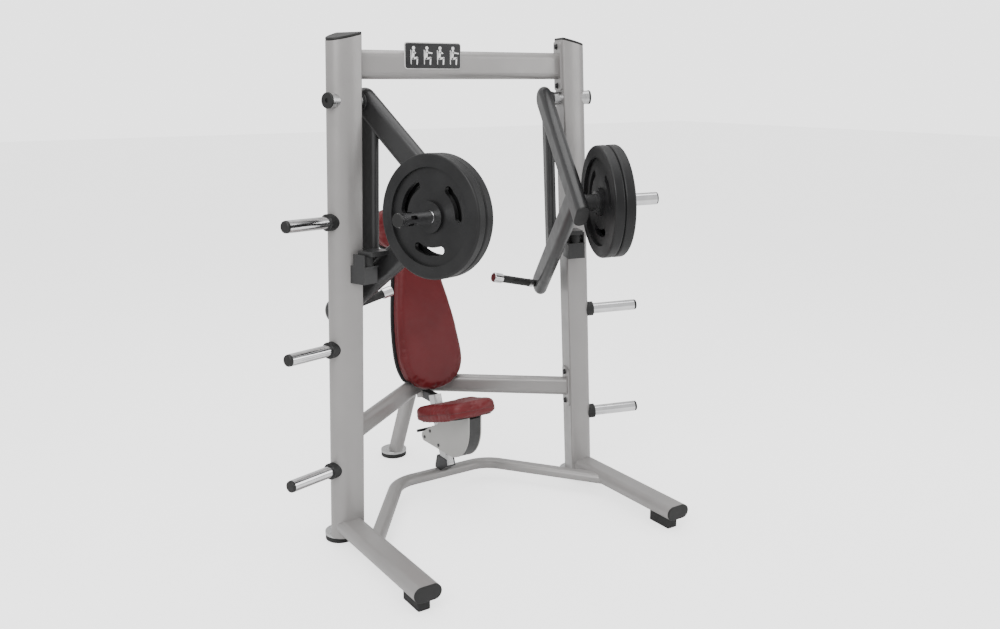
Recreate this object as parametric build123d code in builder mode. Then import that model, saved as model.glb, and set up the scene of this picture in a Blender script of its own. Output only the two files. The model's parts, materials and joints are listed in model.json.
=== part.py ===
from build123d import *
import math
import os

# Plate-loaded chest press machine: two leaning D-section posts carry one press arm each.
# Millimetres. +Z is up, the user faces -Y, +X is the user's left, and the machine is
# symmetric about X = 0. The origin is on the floor, under the middle of the machine.
# Everything fixed to a post is drawn in that post's "station": u runs outward from the
# post's flat inner face, v forward along it, w up along the post, from the arm's pivot.
# The left side is drawn, and the right side is its mirror image.

os.makedirs("parts", exist_ok=True)

# ---------------------------------------------------------------- driving dimensions
# posts
TOE_DEG = 20.8            # the flat inner faces turn this far towards the back
LEAN_DEG = 2.3            # the posts lean inward going up
PIVOT = (495.3, -22.6, 1778.6)   # left arm's axis where it meets the post's inner face
POST_WIDTH = 135.2        # along the flat inner face
POST_DEPTH = 109.0        # from the flat face to the crown of the D
POST_V = -10.1            # the D is centred a little behind the pivot
POST_WALL = 4.0
POST_CORNER_R = 9.0
POST_TOP_Z = 2024.0
POST_TOP_SLOPE_DEG = 13.1
POST_BOTTOM_Z = 34.0
CAP_T = 10.0

# crossbar and placard
BAR_HEIGHT = 110.0
BAR_THICKNESS = 55.0
BAR_Y = -12.0
BAR_Z = 1915.0
FLANGE_T = 8.0
BAR_FLANGE_SIZE = (100.0, 204.0)
BAR_BOLT_RISE = 82.0
PLACARD_SIZE = (247.0, 95.0)
PLACARD_X = -148.5
PLACARD_Z = 1949.5
PLACARD_T = 3.0
PLACARD_MARGIN = 4.0

# base
TUBE_WALL = 3.5
LEG_X = 604.0
LEG_Z = 81.0
LEG_WIDTH = 112.0
LEG_HEIGHT = 60.0
LEG_FRONT_Y = -742.0
LEG_REAR_Y = -75.0
END_CAP_T = 8.0
PLUG_DEPTH = 14.0
FOOT_BLOCK_LENGTH = 120.0
FOOT_BLOCK_SETBACK = 24.0
FOOT_R = 64.0
FOOT_RUBBER_T = 22.0
FOOT_FLANGE_T = 12.0
POST_FOOT = (611.0, -14.0)
REAR_FOOT_Y = 686.0
CROSS_WIDTH = 62.0        # bent tube between the legs
CROSS_HEIGHT = 46.0
CROSS_Z = 76.0
CROSS_PLAN = ((600.0, -310.0), (235.0, 193.0))
CROSS_BEND_R = 150.0

# back frame: rear beams, spine and rear leg
BEAM_HEIGHT = 86.0
BEAM_THICKNESS = 50.0
BEAM_START = (543.0, -40.0, 465.0)   # middle of the left flange
BEAM_PLAN_DEG = 38.4
BEAM_FLANGE_SIZE = (90.0, 178.0)
BEAM_BOLT_RISE = 70.0
PAD_LEAN_DEG = 16.5
SPINE_BASE = (0.0, 380.0, 472.0)
SPINE_DEPTH = 76.0
SPINE_WIDTH = 50.0
SPINE_ABOVE = 836.0
SPINE_BELOW = 75.0
REAR_LEG_TOP = (0.0, 411.0, 576.5)
REAR_LEG_BOTTOM = (0.0, 676.0, 8.0)

# pads
PAD_FRONT = (0.0, 231.0, 520.0)      # a point of the pads' front faces, at pad height 0
FOAM_T = 60.0
BOARD_T = 16.0
BOARD_INSET = 5.0
BACK_PAD_SIDE = ((0, -45), (78, -34), (132, 2), (161, 62), (168, 170), (154, 310),
                 (134, 420), (100, 603))
LIP_LEDGE = (260.0, 511.0)           # y, z: the pad is thinner below, ahead of the beams
HEAD_PAD_SIZE = (356.0, 188.0)
HEAD_PAD_RISE = 715.0
PAD_BRACKET_RISES = (90.0, 430.0, 715.0)
PAD_BRACKET_SIZE = (130.0, 60.0)
PAD_BRACKET_PLATE_T = 5.0
PAD_BRACKET_BLOCK_WIDTH = 44.0

# seat rail
RAIL_LEAN_DEG = 20.0
RAIL_POINT = (0.0, 195.0, 285.0)
RAIL_DEPTH = 60.0
RAIL_WIDTH = 40.0
RAIL_CORNER_R = 8.0
RAIL_ABOVE = 165.0
RAIL_BELOW = 165.0
RACK_WIDTH = 20.0
RACK_DEPTH = 12.0
RACK_TOOTH = 5.0
RACK_PITCH = 20.0
RACK_TEETH = 11
RACK_BOTTOM = -98.0

# seat
SEAT_TILT_DEG = 16.6
SEAT_CENTRE = (0.0, 33.0, 430.0)
SEAT_LENGTH = 322.0
SEAT_REAR_WIDTH = 344.0
SEAT_FRONT_WIDTH = 220.0
SEAT_T = 66.0
SEAT_BOARD_T = 14.0
SEAT_BOARD_INSET = 26.0   # the cushion wraps round the board
SEAT_FRONT_CORNER_R = 64.0
SEAT_REAR_CORNER_R = 58.0
SEAT_TOP_R = 24.0
SEAT_UNDER_R = 10.0
SEAT_NOTCH = (70.0, 16.0)
CARRIAGE_HALF_WIDTH = 33.0
CARRIAGE_PLATE_T = 5.0
SLEEVE_WALL = 8.0
SLEEVE_TOP = 15.0
SLEEVE_BOTTOM = -68.0
SLIDE_CLEARANCE = 0.15
FAIRING_R = 168.0
FAIRING_CENTRE = (69.0, 374.0)
FAIRING_T = 3.0
PAWL_PIVOT = (245.0, 269.0)          # y, z of the cross pins
REAR_PIN = (297.0, 224.0)
SLEEVE_SCREW = (167.0, 224.0)
PIN_R = 4.0
PIN_HEAD_R = 7.5
PIN_HEAD_T = 3.0

# arms
ARM_U = -71.5             # middle of the arm's tubes
ARM_DEPTH = 108.0
ARM_THICKNESS = 55.0
HORN_PLACE = (464.0, -398.0)         # v, w
ARM_FRONT_OVERHANG = 66.0            # of the upper tube, past the horn
ELBOW = (-168.0, -850.0)             # rounded lower end, where the grip starts
JOINT = (426.0, -382.0)              # the lower tube's top end
LINK_V = 30.0
LINK_BOTTOM_W = -690.0
LINK_U = -66.0
LINK_DEPTH = 80.0
LINK_THICKNESS = 40.0
HUB_R = 31.0

# pivot
BARREL_R = 29.0
BARREL_BORE_R = 21.0
BARREL_INNER_U = -31.0
BARREL_OUTER_U = 125.0
BUSH_LENGTH = 40.0
SHAFT_R = 15.0
SHAFT_CLEARANCE = 0.05
BARREL_CAP_T = 8.5

# horn, plates and pegs
HORN_R = 25.0
HORN_END_U = 258.0
HORN_CAP_T = 6.0
HORN_CAP_R = 24.5
HORN_GROOVE_U = (97.5, 99.5)         # just outside the outer plate
HORN_GROOVE_R = 24.5
HORN_PIN_HOLE_R = 5.0
HORN_SLEEVE_R = 33.0
HORN_FLANGE_R = 46.0
HORN_SLEEVE_END_U = 9.0
PLATE_R = 225.0
PLATE_RIM_R = 177.0
PLATE_HUB_R = 57.0
PLATE_T = 43.5
PLATE_WEB_T = 19.0
PLATE_BORE_R = 25.06
PLATE_GAP = 0.25
SLOT_ANGLES_DEG = (-93.0, 27.0, 147.0)
SLOT_RADIUS = 125.0
SLOT_WIDTH = 30.0
SLOT_SWEEP_DEG = 50.0
PEG_R = 24.0
PEG_ROOT_R = 22.0
PEG_RELIEF = 1.0         # of the thinner root, past the collar
PEG_CAP_R = 23.5
PEG_ROOT_U = 6.0          # just clear of the post's inner wall
PEG_TIP_U = 345.0
PEG_CAP_T = 12.0
PEG_HEIGHTS_W = (-455.0, -956.0, -1456.0)
COLLAR_R = 33.0
COLLAR_END_U = 132.0

# grip
GRIP_ROOT = (-99.0, -165.0, -850.0)
GRIP_END = (-314.0, -80.0, -785.0)
GRIP_STUB = 17.0
GRIP_RING = 20.0
GRIP_KNOB = 45.0
GRIP_STUB_R = 16.0
GRIP_RING_R = 19.0
GRIP_SLEEVE_R = 17.5
GRIP_KNOB_R = 22.5
GRIP_CORE_R = 12.5

# stop
STOP_U = (-12.0, 62.0)
STOP_V = 122.0
STOP_W = (-690.0, -621.0)
STOP_WALL = 6.0
STOP_CHEEK_W = -575.0
BUMPER_PLACE = (24.0, 96.0)          # u, v
BUMPER_R = 25.0
LUG_U = (-60.0, 46.0)
LUG_V = (70.0, 146.0)
LUG_W = (-580.0, -562.0)

GAP = 0.2                 # air left between parts that only sit against each other

# ------------------------------------------------------------------------- the station
toe = math.radians(TOE_DEG)
lean = math.radians(LEAN_DEG)
PIVOT_POINT = Vector(*PIVOT)
OUT = Vector(math.cos(toe) * math.cos(lean), -math.sin(toe) * math.cos(lean), math.sin(lean))
FORWARD = Vector(-math.sin(toe), -math.cos(toe), 0)
UP = FORWARD.cross(OUT)


def at(u, v, w):
    """World point of a place in the left station."""
    return PIVOT_POINT + OUT * u + FORWARD * v + UP * w


def facing_out(u, v, w):
    """Plane square to the pivot axis, its x pointing backward and its y up the post."""
    return Plane(origin=at(u, v, w), x_dir=-FORWARD, z_dir=OUT)


def across(w):
    """Plane across the post at height w, its x outward and its y backward."""
    return Plane(origin=at(0, 0, w), x_dir=OUT, z_dir=UP)


def along(start, end, side):
    """Plane at start that looks along the line to end, its x lying towards side."""
    direction = (end - start).normalized()
    x_dir = (side - direction * side.dot(direction)).normalized()
    return Plane(origin=start, x_dir=x_dir, z_dir=direction)


def leaning(point, degrees):
    """Plane across a line that leans back by degrees, its x sideways, its y backward."""
    angle = math.radians(degrees)
    return Plane(origin=point, x_dir=(1, 0, 0), z_dir=(0, math.sin(angle), math.cos(angle)))


# --------------------------------------------------------------------- shared shapes
def save(shape, name):
    """Label a finished piece and write it."""
    shape.label = name
    export_step(shape, f"parts/{name}.step")


def save_pair(shape, name):
    """Write the left piece and its mirror image on the right."""
    save(mirror(shape, about=Plane.YZ), f"right_{name}")
    save(shape, f"left_{name}")


def save_both_sides(shape, name):
    """Write the left and right pieces as separate solids of one node."""
    twin = mirror(shape, about=Plane.YZ)
    save(Compound(children=[*shape.solids(), *twin.solids()]), name)


def oval(plane, depth, thickness):
    """Flat-oval outline, its depth along the plane's x."""
    with BuildSketch(plane) as outline:
        SlotOverall(depth, thickness)
    return outline.sketch


def circle(plane, radius):
    with BuildSketch(plane) as outline:
        Circle(radius)
    return outline.sketch


def box_outline(plane, width, height, corner):
    with BuildSketch(plane) as outline:
        RectangleRounded(width, height, corner)
    return outline.sketch


def hexagon(plane, radius):
    with BuildSketch(plane) as outline:
        RegularPolygon(radius, 6)
    return outline.sketch


def add_tube(start, end, side, depth, thickness, wall=0.0, mode=Mode.ADD):
    """Flat-oval bar from start to end, or the bore of one when wall is given."""
    outline = oval(along(start, end, side), depth - 2 * wall, thickness - 2 * wall)
    extrude(outline, amount=(end - start).length, mode=mode)


def add_rod(plane, radius, length, mode=Mode.ADD):
    extrude(circle(plane, radius), amount=length, mode=mode)


def add_station_box(us, vs, ws, mode=Mode.ADD):
    """Box between two values each of u, v and w."""
    middle = at((us[0] + us[1]) / 2, (vs[0] + vs[1]) / 2, ws[0])
    with BuildSketch(Plane(origin=middle, x_dir=OUT, z_dir=UP)) as base:
        Rectangle(us[1] - us[0], vs[1] - vs[0])
    extrude(base.sketch, amount=ws[1] - ws[0], mode=mode)


def post_outline(w, inset=0.0):
    """D outline of a post at height w, shrunk by inset."""
    half = POST_WIDTH / 2 - inset
    depth = POST_DEPTH - 2 * inset
    with BuildSketch(across(w)) as outline:
        with BuildLine():
            Line((inset, -POST_V + half), (inset, -POST_V - half))
            EllipticalCenterArc((inset, -POST_V), depth, half, -90, arc_size=180)
        make_face()
        fillet(vertices(), max(POST_CORNER_R - inset, 2.0))
    return outline.sketch


def top_plane(rise=0.0):
    """Sloping plane of the post's cut top."""
    slope = math.radians(POST_TOP_SLOPE_DEG)
    flat_out = Vector(OUT.X, OUT.Y, 0).normalized()
    normal = flat_out * math.sin(slope) + Vector(0, 0, 1) * math.cos(slope)
    edge = at(0, POST_V, (POST_TOP_Z - PIVOT_POINT.Z) / UP.Z)
    return Plane(origin=edge + normal * rise, x_dir=FORWARD, z_dir=normal)


POST_LOW_W = -1850.0      # the post's blank reaches past both of its cut ends
POST_LENGTH = 2200.0

# Solid the size of a post, a hair larger, that other parts are cut to
with BuildPart() as post_block:
    extrude(post_outline(POST_LOW_W, -GAP), amount=POST_LENGTH)


# ------------------------------------------------------------------------------ posts
BOLT_R = 6.0
BOLT_HEAD_R = 11.0
BOLT_HEAD_T = 7.5
WASHER_R = 13.0
WASHER_T = 2.5
BOLT_REACH = 14.0         # of the shank, into the hollow post


def on_face(point):
    """v and w of a world point brought square onto the post's inner face."""
    offset = point - PIVOT_POINT
    return offset.dot(FORWARD), offset.dot(UP)


BAR_V, BAR_W = on_face(Vector(at(0, 0, 0).X, BAR_Y, BAR_Z))
BEAM_V, BEAM_W = on_face(Vector(*BEAM_START))
FLANGE_BOLTS = (
    (BAR_V, BAR_W + BAR_BOLT_RISE),
    (BAR_V, BAR_W - BAR_BOLT_RISE),
    (BEAM_V, BEAM_W + BEAM_BOLT_RISE),
    (BEAM_V, BEAM_W - BEAM_BOLT_RISE),
)



def drill_post(start_u, places, radius, depth):
    """Round holes along u at each v, w place."""
    with BuildSketch(facing_out(start_u, 0, 0)) as holes:
        with Locations(*[(-v, w) for v, w in places]):
            Circle(radius)
    extrude(holes.sketch, amount=depth, mode=Mode.SUBTRACT)


with BuildPart() as post:
    extrude(post_outline(POST_LOW_W), amount=POST_LENGTH)
    extrude(post_outline(POST_LOW_W, POST_WALL), amount=POST_LENGTH, mode=Mode.SUBTRACT)
    split(bisect_by=top_plane(), keep=Keep.BOTTOM)
    split(bisect_by=Plane.XY.offset(POST_BOTTOM_Z), keep=Keep.TOP)
    drill_post(-20, [(0, 0)], BARREL_R + GAP, POST_DEPTH + 60)
    drill_post(30, [(POST_V, peg_w) for peg_w in PEG_HEIGHTS_W], PEG_ROOT_R + GAP, POST_DEPTH)
    drill_post(-5, FLANGE_BOLTS, BOLT_R + GAP, 20)
save_pair(post.part, "post")

with BuildPart() as post_cap:
    extrude(post_outline(150), amount=200)
    split(bisect_by=top_plane(), keep=Keep.TOP)
    split(bisect_by=top_plane(CAP_T), keep=Keep.BOTTOM)
    top_face = post_cap.faces().sort_by(Axis((0, 0, 0), top_plane().z_dir))[-1]
    fillet(top_face.edges(), 4.0)
save_both_sides(post_cap.part, "post_caps")

# --------------------------------------------------------------------------- crossbar
INNER_FACE = facing_out(-FLANGE_T / 2, 0, 0)
MIRRORED_INNER_FACE = Plane(
    origin=(-INNER_FACE.origin.X, INNER_FACE.origin.Y, INNER_FACE.origin.Z),
    z_dir=(-OUT.X, OUT.Y, OUT.Z),
)


def add_flange(size, v, w, mode=Mode.ADD):
    """Bolting plate against the left post's inner face, with its two bolt holes."""
    plate = box_outline(facing_out(-FLANGE_T, v, w), size[0], size[1], 12.0)
    extrude(plate, amount=FLANGE_T, mode=mode)


def drill_flange(v, w, rise):
    for bolt_w in (w + rise, w - rise):
        add_rod(facing_out(-20, v, bolt_w), BOLT_R + GAP, 40, Mode.SUBTRACT)


bar_left = Vector(at(0, 0, 0).X + 30, BAR_Y, BAR_Z)
bar_right = Vector(-bar_left.X, BAR_Y, BAR_Z)
with BuildPart() as crossbar:
    add_tube(bar_right, bar_left, Vector(0, 0, 1), BAR_HEIGHT, BAR_THICKNESS)
    add_tube(bar_right, bar_left, Vector(0, 0, 1), BAR_HEIGHT, BAR_THICKNESS, TUBE_WALL,
             Mode.SUBTRACT)
    split(bisect_by=INNER_FACE, keep=Keep.BOTTOM)
    split(bisect_by=MIRRORED_INNER_FACE, keep=Keep.BOTTOM)
    add_flange(BAR_FLANGE_SIZE, BAR_V, BAR_W)
    drill_flange(BAR_V, BAR_W, BAR_BOLT_RISE)
    split(bisect_by=Plane.YZ, keep=Keep.TOP)
    mirror(about=Plane.YZ)
save(crossbar.part, "crossbar")

placard_back_y = BAR_Y - BAR_THICKNESS / 2


def placard_outline(y, margin, corner):
    plane = Plane(origin=(PLACARD_X, y, PLACARD_Z), x_dir=(1, 0, 0), z_dir=(0, -1, 0))
    return box_outline(plane, PLACARD_SIZE[0] + margin, PLACARD_SIZE[1] + margin, corner)


with BuildPart() as placard_backing:
    extrude(placard_outline(placard_back_y, 2 * PLACARD_MARGIN, 12.0), amount=PLACARD_T)
    fillet(placard_backing.faces().sort_by(Axis.Y)[0].edges(), 1.2)
save(placard_backing.part, "placard_backing")

with BuildPart() as placard:
    extrude(placard_outline(placard_back_y - PLACARD_T, 0, 8.0), amount=PLACARD_T)
    fillet(placard.faces().sort_by(Axis.Y)[0].edges(), 0.8)
save(placard.part, "placard")

# ------------------------------------------------------------------------------- base
leg_front = Vector(LEG_X, LEG_FRONT_Y, LEG_Z)
leg_rear = Vector(LEG_X, LEG_REAR_Y, LEG_Z)
SIDEWAYS = Vector(1, 0, 0)
VERTICAL = Vector(0, 0, 1)

with BuildPart() as leg_block:
    add_tube(leg_front, leg_rear, SIDEWAYS, LEG_WIDTH, LEG_HEIGHT)
    mirror(about=Plane.YZ)

with BuildPart() as leg:
    add_tube(leg_front, leg_rear, SIDEWAYS, LEG_WIDTH, LEG_HEIGHT)
    add_tube(leg_front, leg_rear, SIDEWAYS, LEG_WIDTH, LEG_HEIGHT, TUBE_WALL, Mode.SUBTRACT)
    add(post_block.part, mode=Mode.SUBTRACT)
save_pair(leg.part.solids().sort_by(SortBy.VOLUME)[-1], "leg")


def add_end_cap(start, outward, side, depth, thickness, cap_t, wall=TUBE_WALL):
    """Moulded plug: a plate over the tube's end and a spigot inside it."""
    plane = along(start, start + outward, side)
    extrude(oval(plane, depth, thickness), amount=cap_t)
    spigot = oval(plane, depth - 2 * wall - 2 * GAP, thickness - 2 * wall - 2 * GAP)
    extrude(spigot, amount=-PLUG_DEPTH)


with BuildPart() as leg_cap:
    add_end_cap(leg_front, Vector(0, -1, 0), SIDEWAYS, LEG_WIDTH, LEG_HEIGHT, END_CAP_T)
    fillet(leg_cap.faces().sort_by(Axis.Y)[0].edges(), 3.0)
save_both_sides(leg_cap.part, "leg_caps")

block_y = LEG_FRONT_Y + FOOT_BLOCK_SETBACK + FOOT_BLOCK_LENGTH / 2
with BuildPart() as leg_foot:
    with BuildSketch(Plane((LEG_X, block_y, 0))):
        RectangleRounded(LEG_WIDTH - LEG_HEIGHT, FOOT_BLOCK_LENGTH, 8.0)
    extrude(amount=LEG_Z - LEG_HEIGHT / 2)
    chamfer(leg_foot.faces().sort_by(Axis.Z)[0].edges(), 2.0)
save_both_sides(leg_foot.part, "leg_feet")

FOOT_PLACES = (POST_FOOT, (-POST_FOOT[0], POST_FOOT[1]), (0.0, REAR_FOOT_Y))
with BuildPart() as rubber_feet:
    with BuildSketch():
        with Locations(*FOOT_PLACES):
            Circle(FOOT_R - 1)
    extrude(amount=FOOT_RUBBER_T)
    fillet(rubber_feet.edges().group_by(Axis.Z)[0], 3.0)
save(rubber_feet.part, "rubber_feet")

with BuildPart() as foot_flanges:
    with BuildSketch(Plane.XY.offset(FOOT_RUBBER_T)):
        with Locations(*FOOT_PLACES):
            Circle(FOOT_R)
    extrude(amount=FOOT_FLANGE_T)
    fillet(foot_flanges.edges().group_by(Axis.Z)[-1], 2.0)
save(foot_flanges.part, "foot_flanges")

cross_corner = CROSS_PLAN[1]
cross_end = CROSS_PLAN[0]
with BuildPart() as base_cross_tube:
    with BuildLine(Plane.XY.offset(CROSS_Z)) as cross_path:
        FilletPolyline(
            cross_end,
            cross_corner,
            (-cross_corner[0], cross_corner[1]),
            (-cross_end[0], cross_end[1]),
            radius=CROSS_BEND_R,
        )
    tangent = cross_path.line % 0
    cross_start = Plane(cross_path.line @ 0, x_dir=VERTICAL.cross(tangent), z_dir=tangent)
    with BuildSketch(cross_start):
        SlotOverall(CROSS_WIDTH, CROSS_HEIGHT)
        SlotOverall(CROSS_WIDTH - 2 * TUBE_WALL, CROSS_HEIGHT - 2 * TUBE_WALL,
                    mode=Mode.SUBTRACT)
    sweep()
    add(leg_block.part, mode=Mode.SUBTRACT)
save(base_cross_tube.part.solids().sort_by(SortBy.VOLUME)[-1], "base_cross_tube")

# ------------------------------------------------------------------------- back frame
spine_axis = leaning(SPINE_BASE, PAD_LEAN_DEG).z_dir
spine_bottom = Vector(*SPINE_BASE) - spine_axis * SPINE_BELOW
spine_top = Vector(*SPINE_BASE) + spine_axis * SPINE_ABOVE
BACKWARD = Vector(0, 1, 0)

with BuildPart() as spine_block:
    add_tube(spine_bottom, spine_top, BACKWARD, SPINE_DEPTH, SPINE_WIDTH)

with BuildPart() as back_spine:
    add(spine_block.part)
    add_tube(spine_bottom, spine_top, BACKWARD, SPINE_DEPTH, SPINE_WIDTH, TUBE_WALL,
             Mode.SUBTRACT)
save(back_spine.part, "back_spine")

beam_angle = math.radians(BEAM_PLAN_DEG)
BEAM_DIRECTION = Vector(-math.cos(beam_angle), math.sin(beam_angle), 0)
beam_start = Vector(*BEAM_START) - BEAM_DIRECTION * 60
beam_end = Vector(*BEAM_START) + BEAM_DIRECTION * (BEAM_START[0] / math.cos(beam_angle) + 60)

with BuildPart() as beam_block:
    add_tube(beam_start, beam_end, VERTICAL, BEAM_HEIGHT, BEAM_THICKNESS)
    split(bisect_by=INNER_FACE, keep=Keep.BOTTOM)
    split(bisect_by=Plane.YZ, keep=Keep.TOP)

with BuildPart() as rear_beam:
    add(beam_block.part)
    add_tube(beam_start, beam_end, VERTICAL, BEAM_HEIGHT, BEAM_THICKNESS, TUBE_WALL,
             Mode.SUBTRACT)
    add(spine_block.part, mode=Mode.SUBTRACT)
    add_flange(BEAM_FLANGE_SIZE, BEAM_V, BEAM_W)
    drill_flange(BEAM_V, BEAM_W, BEAM_BOLT_RISE)
save_pair(rear_beam.part.solids().sort_by(SortBy.VOLUME)[-1], "rear_beam")

rear_leg_top = Vector(*REAR_LEG_TOP)
rear_leg_bottom = Vector(*REAR_LEG_BOTTOM)
with BuildPart() as rear_leg:
    add_tube(rear_leg_bottom, rear_leg_top, BACKWARD, BEAM_HEIGHT, BEAM_THICKNESS)
    add_tube(rear_leg_bottom, rear_leg_top, BACKWARD, BEAM_HEIGHT, BEAM_THICKNESS, TUBE_WALL,
             Mode.SUBTRACT)
    split(bisect_by=Plane.XY.offset(FOOT_RUBBER_T + FOOT_FLANGE_T), keep=Keep.TOP)
    add(spine_block.part, mode=Mode.SUBTRACT)
    add(beam_block.part, mode=Mode.SUBTRACT)
    add(mirror(beam_block.part, about=Plane.YZ), mode=Mode.SUBTRACT)
save(rear_leg.part.solids().sort_by(SortBy.VOLUME)[-1], "rear_leg")

with BuildPart() as spine_cap:
    add_end_cap(spine_top, spine_axis, BACKWARD, SPINE_DEPTH, SPINE_WIDTH, END_CAP_T)
    fillet(spine_cap.faces().sort_by(Axis.Z)[-1].edges(), 3.0)
save(spine_cap.part, "spine_cap")

# ------------------------------------------------------------------------------- pads
pad_angle = math.radians(PAD_LEAN_DEG)
PAD_NORMAL = Vector(0, -math.cos(pad_angle), math.sin(pad_angle))
SPINE_SETBACK = (Vector(*PAD_FRONT) - Vector(*SPINE_BASE)).dot(PAD_NORMAL)


def pad_plane(depth):
    """Plane parallel to the pads' front faces, that far behind them, facing forward."""
    return Plane(origin=Vector(*PAD_FRONT) - PAD_NORMAL * depth, x_dir=(1, 0, 0),
                 z_dir=PAD_NORMAL)


def back_pad_outline(plane, inset=0.0):
    side = [(max(x - inset, 0), s) for x, s in BACK_PAD_SIDE]
    side[0] = (0, BACK_PAD_SIDE[0][1] + inset)
    side[-1] = (side[-1][0], side[-1][1] - inset)
    with BuildSketch(plane) as outline:
        with BuildLine():
            around = [(-x, s) for x, s in reversed(side[1:])] + side
            Spline(*around)
            Line(around[-1], around[0])
        make_face()
        fillet(outline.vertices().group_by(Axis.Y)[-1], 34.0)
    return outline.sketch


def head_pad_outline(plane, inset=0.0):
    raised = plane.offset(0)
    raised.origin = plane.origin + raised.y_dir * HEAD_PAD_RISE
    width = HEAD_PAD_SIZE[0] - 2 * inset
    height = HEAD_PAD_SIZE[1] - 2 * inset
    return box_outline(raised, width, height, 64.0 - inset)


def cut_ledge():
    """Clear what hangs behind and below the ledge, where the rear beams pass."""
    with BuildSketch(Plane.YZ.offset(-HEAD_PAD_SIZE[0])) as ledge:
        with Locations(LIP_LEDGE):
            Rectangle(200, 200, align=(Align.MIN, Align.MAX))
    extrude(ledge.sketch, amount=2 * HEAD_PAD_SIZE[0], mode=Mode.SUBTRACT)


def make_pad(outline, name):
    """Foam pad with rounded front edges, and the board it is stapled to."""
    with BuildPart() as pad:
        extrude(outline(pad_plane(FOAM_T)), amount=FOAM_T)
        fillet(pad.faces().sort_by(Axis((0, 0, 0), PAD_NORMAL))[-1].edges(), 20.0)
        cut_ledge()
    save(pad.part, name)
    with BuildPart() as board:
        extrude(outline(pad_plane(FOAM_T), BOARD_INSET), amount=-BOARD_T)
        cut_ledge()
    save(board.part, f"{name}_board")


make_pad(back_pad_outline, "back_pad")
make_pad(head_pad_outline, "head_pad")

with BuildPart() as pad_brackets:
    for rise in PAD_BRACKET_RISES:
        place = pad_plane(FOAM_T + BOARD_T)
        place.origin = place.origin + place.y_dir * rise
        plate = box_outline(place, PAD_BRACKET_SIZE[0], PAD_BRACKET_SIZE[1], 8.0)
        extrude(plate, amount=-PAD_BRACKET_PLATE_T)
        block = box_outline(place, PAD_BRACKET_BLOCK_WIDTH, PAD_BRACKET_SIZE[1] - 10, 4.0)
        extrude(block, amount=-(SPINE_SETBACK - FOAM_T - BOARD_T - SPINE_DEPTH / 2 + 12))
    add(spine_block.part, mode=Mode.SUBTRACT)
save(pad_brackets.part, "pad_brackets")

# -------------------------------------------------------------------------- seat rail
RAIL = leaning(RAIL_POINT, RAIL_LEAN_DEG)


def rail_plane(height):
    """Plane across the seat rail, its x sideways and its y backward."""
    return RAIL.offset(height)


def side_outline(x, points):
    """Closed outline of y, z points on the plane at x that faces sideways."""
    with BuildSketch(Plane.YZ.offset(x)) as outline:
        with BuildLine():
            Polyline(*points, close=True)
        make_face()
    return outline.sketch


with BuildPart() as rail_block:
    extrude(box_outline(rail_plane(-RAIL_BELOW), RAIL_WIDTH, RAIL_DEPTH, RAIL_CORNER_R),
            amount=RAIL_ABOVE + RAIL_BELOW)

with BuildPart() as seat_rail:
    add(rail_block.part)
    extrude(box_outline(rail_plane(-RAIL_BELOW), RAIL_WIDTH - 2 * TUBE_WALL,
                        RAIL_DEPTH - 2 * TUBE_WALL, RAIL_CORNER_R - TUBE_WALL),
            amount=RAIL_ABOVE + RAIL_BELOW, mode=Mode.SUBTRACT)
save(seat_rail.part, "seat_rail")

rack_back_y = RAIL_DEPTH / 2
rack_top = RACK_BOTTOM + RACK_PITCH * (RACK_TEETH + 0.5)
rack_side = Plane(origin=RAIL.origin - SIDEWAYS * (RACK_WIDTH / 2), x_dir=RAIL.y_dir,
                  z_dir=SIDEWAYS)
with BuildPart() as seat_rack:
    with BuildSketch(rack_side):
        with BuildLine():
            Polyline(
                (rack_back_y, RACK_BOTTOM),
                (rack_back_y + RACK_DEPTH, RACK_BOTTOM),
                (rack_back_y + RACK_DEPTH, rack_top),
                (rack_back_y, rack_top),
                close=True,
            )
        make_face()
        for tooth in range(RACK_TEETH):
            notch = RACK_BOTTOM + RACK_PITCH * (tooth + 0.75)
            with Locations((rack_back_y + RACK_DEPTH, notch)):
                Rectangle(2 * RACK_TOOTH, RACK_PITCH / 2, mode=Mode.SUBTRACT)
    extrude(amount=RACK_WIDTH)
save(seat_rack.part, "seat_rack")

LOWER_BRACKET = ((112, 134), (166, 99), (216, 99), (216, 112), (199, 166), (121, 166))
UPPER_BRACKET = ((240, 403), (362, 403), (362, 441), (240, 441))
BRACKET_HALF_WIDTH = 24.0
LINK_HALF_WIDTH = 18.0
with BuildPart() as rail_lower_bracket:
    extrude(side_outline(-BRACKET_HALF_WIDTH, LOWER_BRACKET), amount=2 * BRACKET_HALF_WIDTH)
    chamfer(rail_lower_bracket.edges().filter_by(Axis.X), 2.0)
    add(rail_block.part, mode=Mode.SUBTRACT)
save(rail_lower_bracket.part, "rail_lower_bracket")

with BuildPart() as rail_upper_bracket:
    extrude(side_outline(-LINK_HALF_WIDTH, UPPER_BRACKET), amount=2 * LINK_HALF_WIDTH)
    add(rail_block.part, mode=Mode.SUBTRACT)
    add(spine_block.part, mode=Mode.SUBTRACT)
    add(beam_block.part, mode=Mode.SUBTRACT)
    add(mirror(beam_block.part, about=Plane.YZ), mode=Mode.SUBTRACT)
save(rail_upper_bracket.part.solids().sort_by(SortBy.VOLUME)[-1], "rail_upper_bracket")

# ------------------------------------------------------------------------------- seat
SEAT = leaning(SEAT_CENTRE, SEAT_TILT_DEG)


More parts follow.
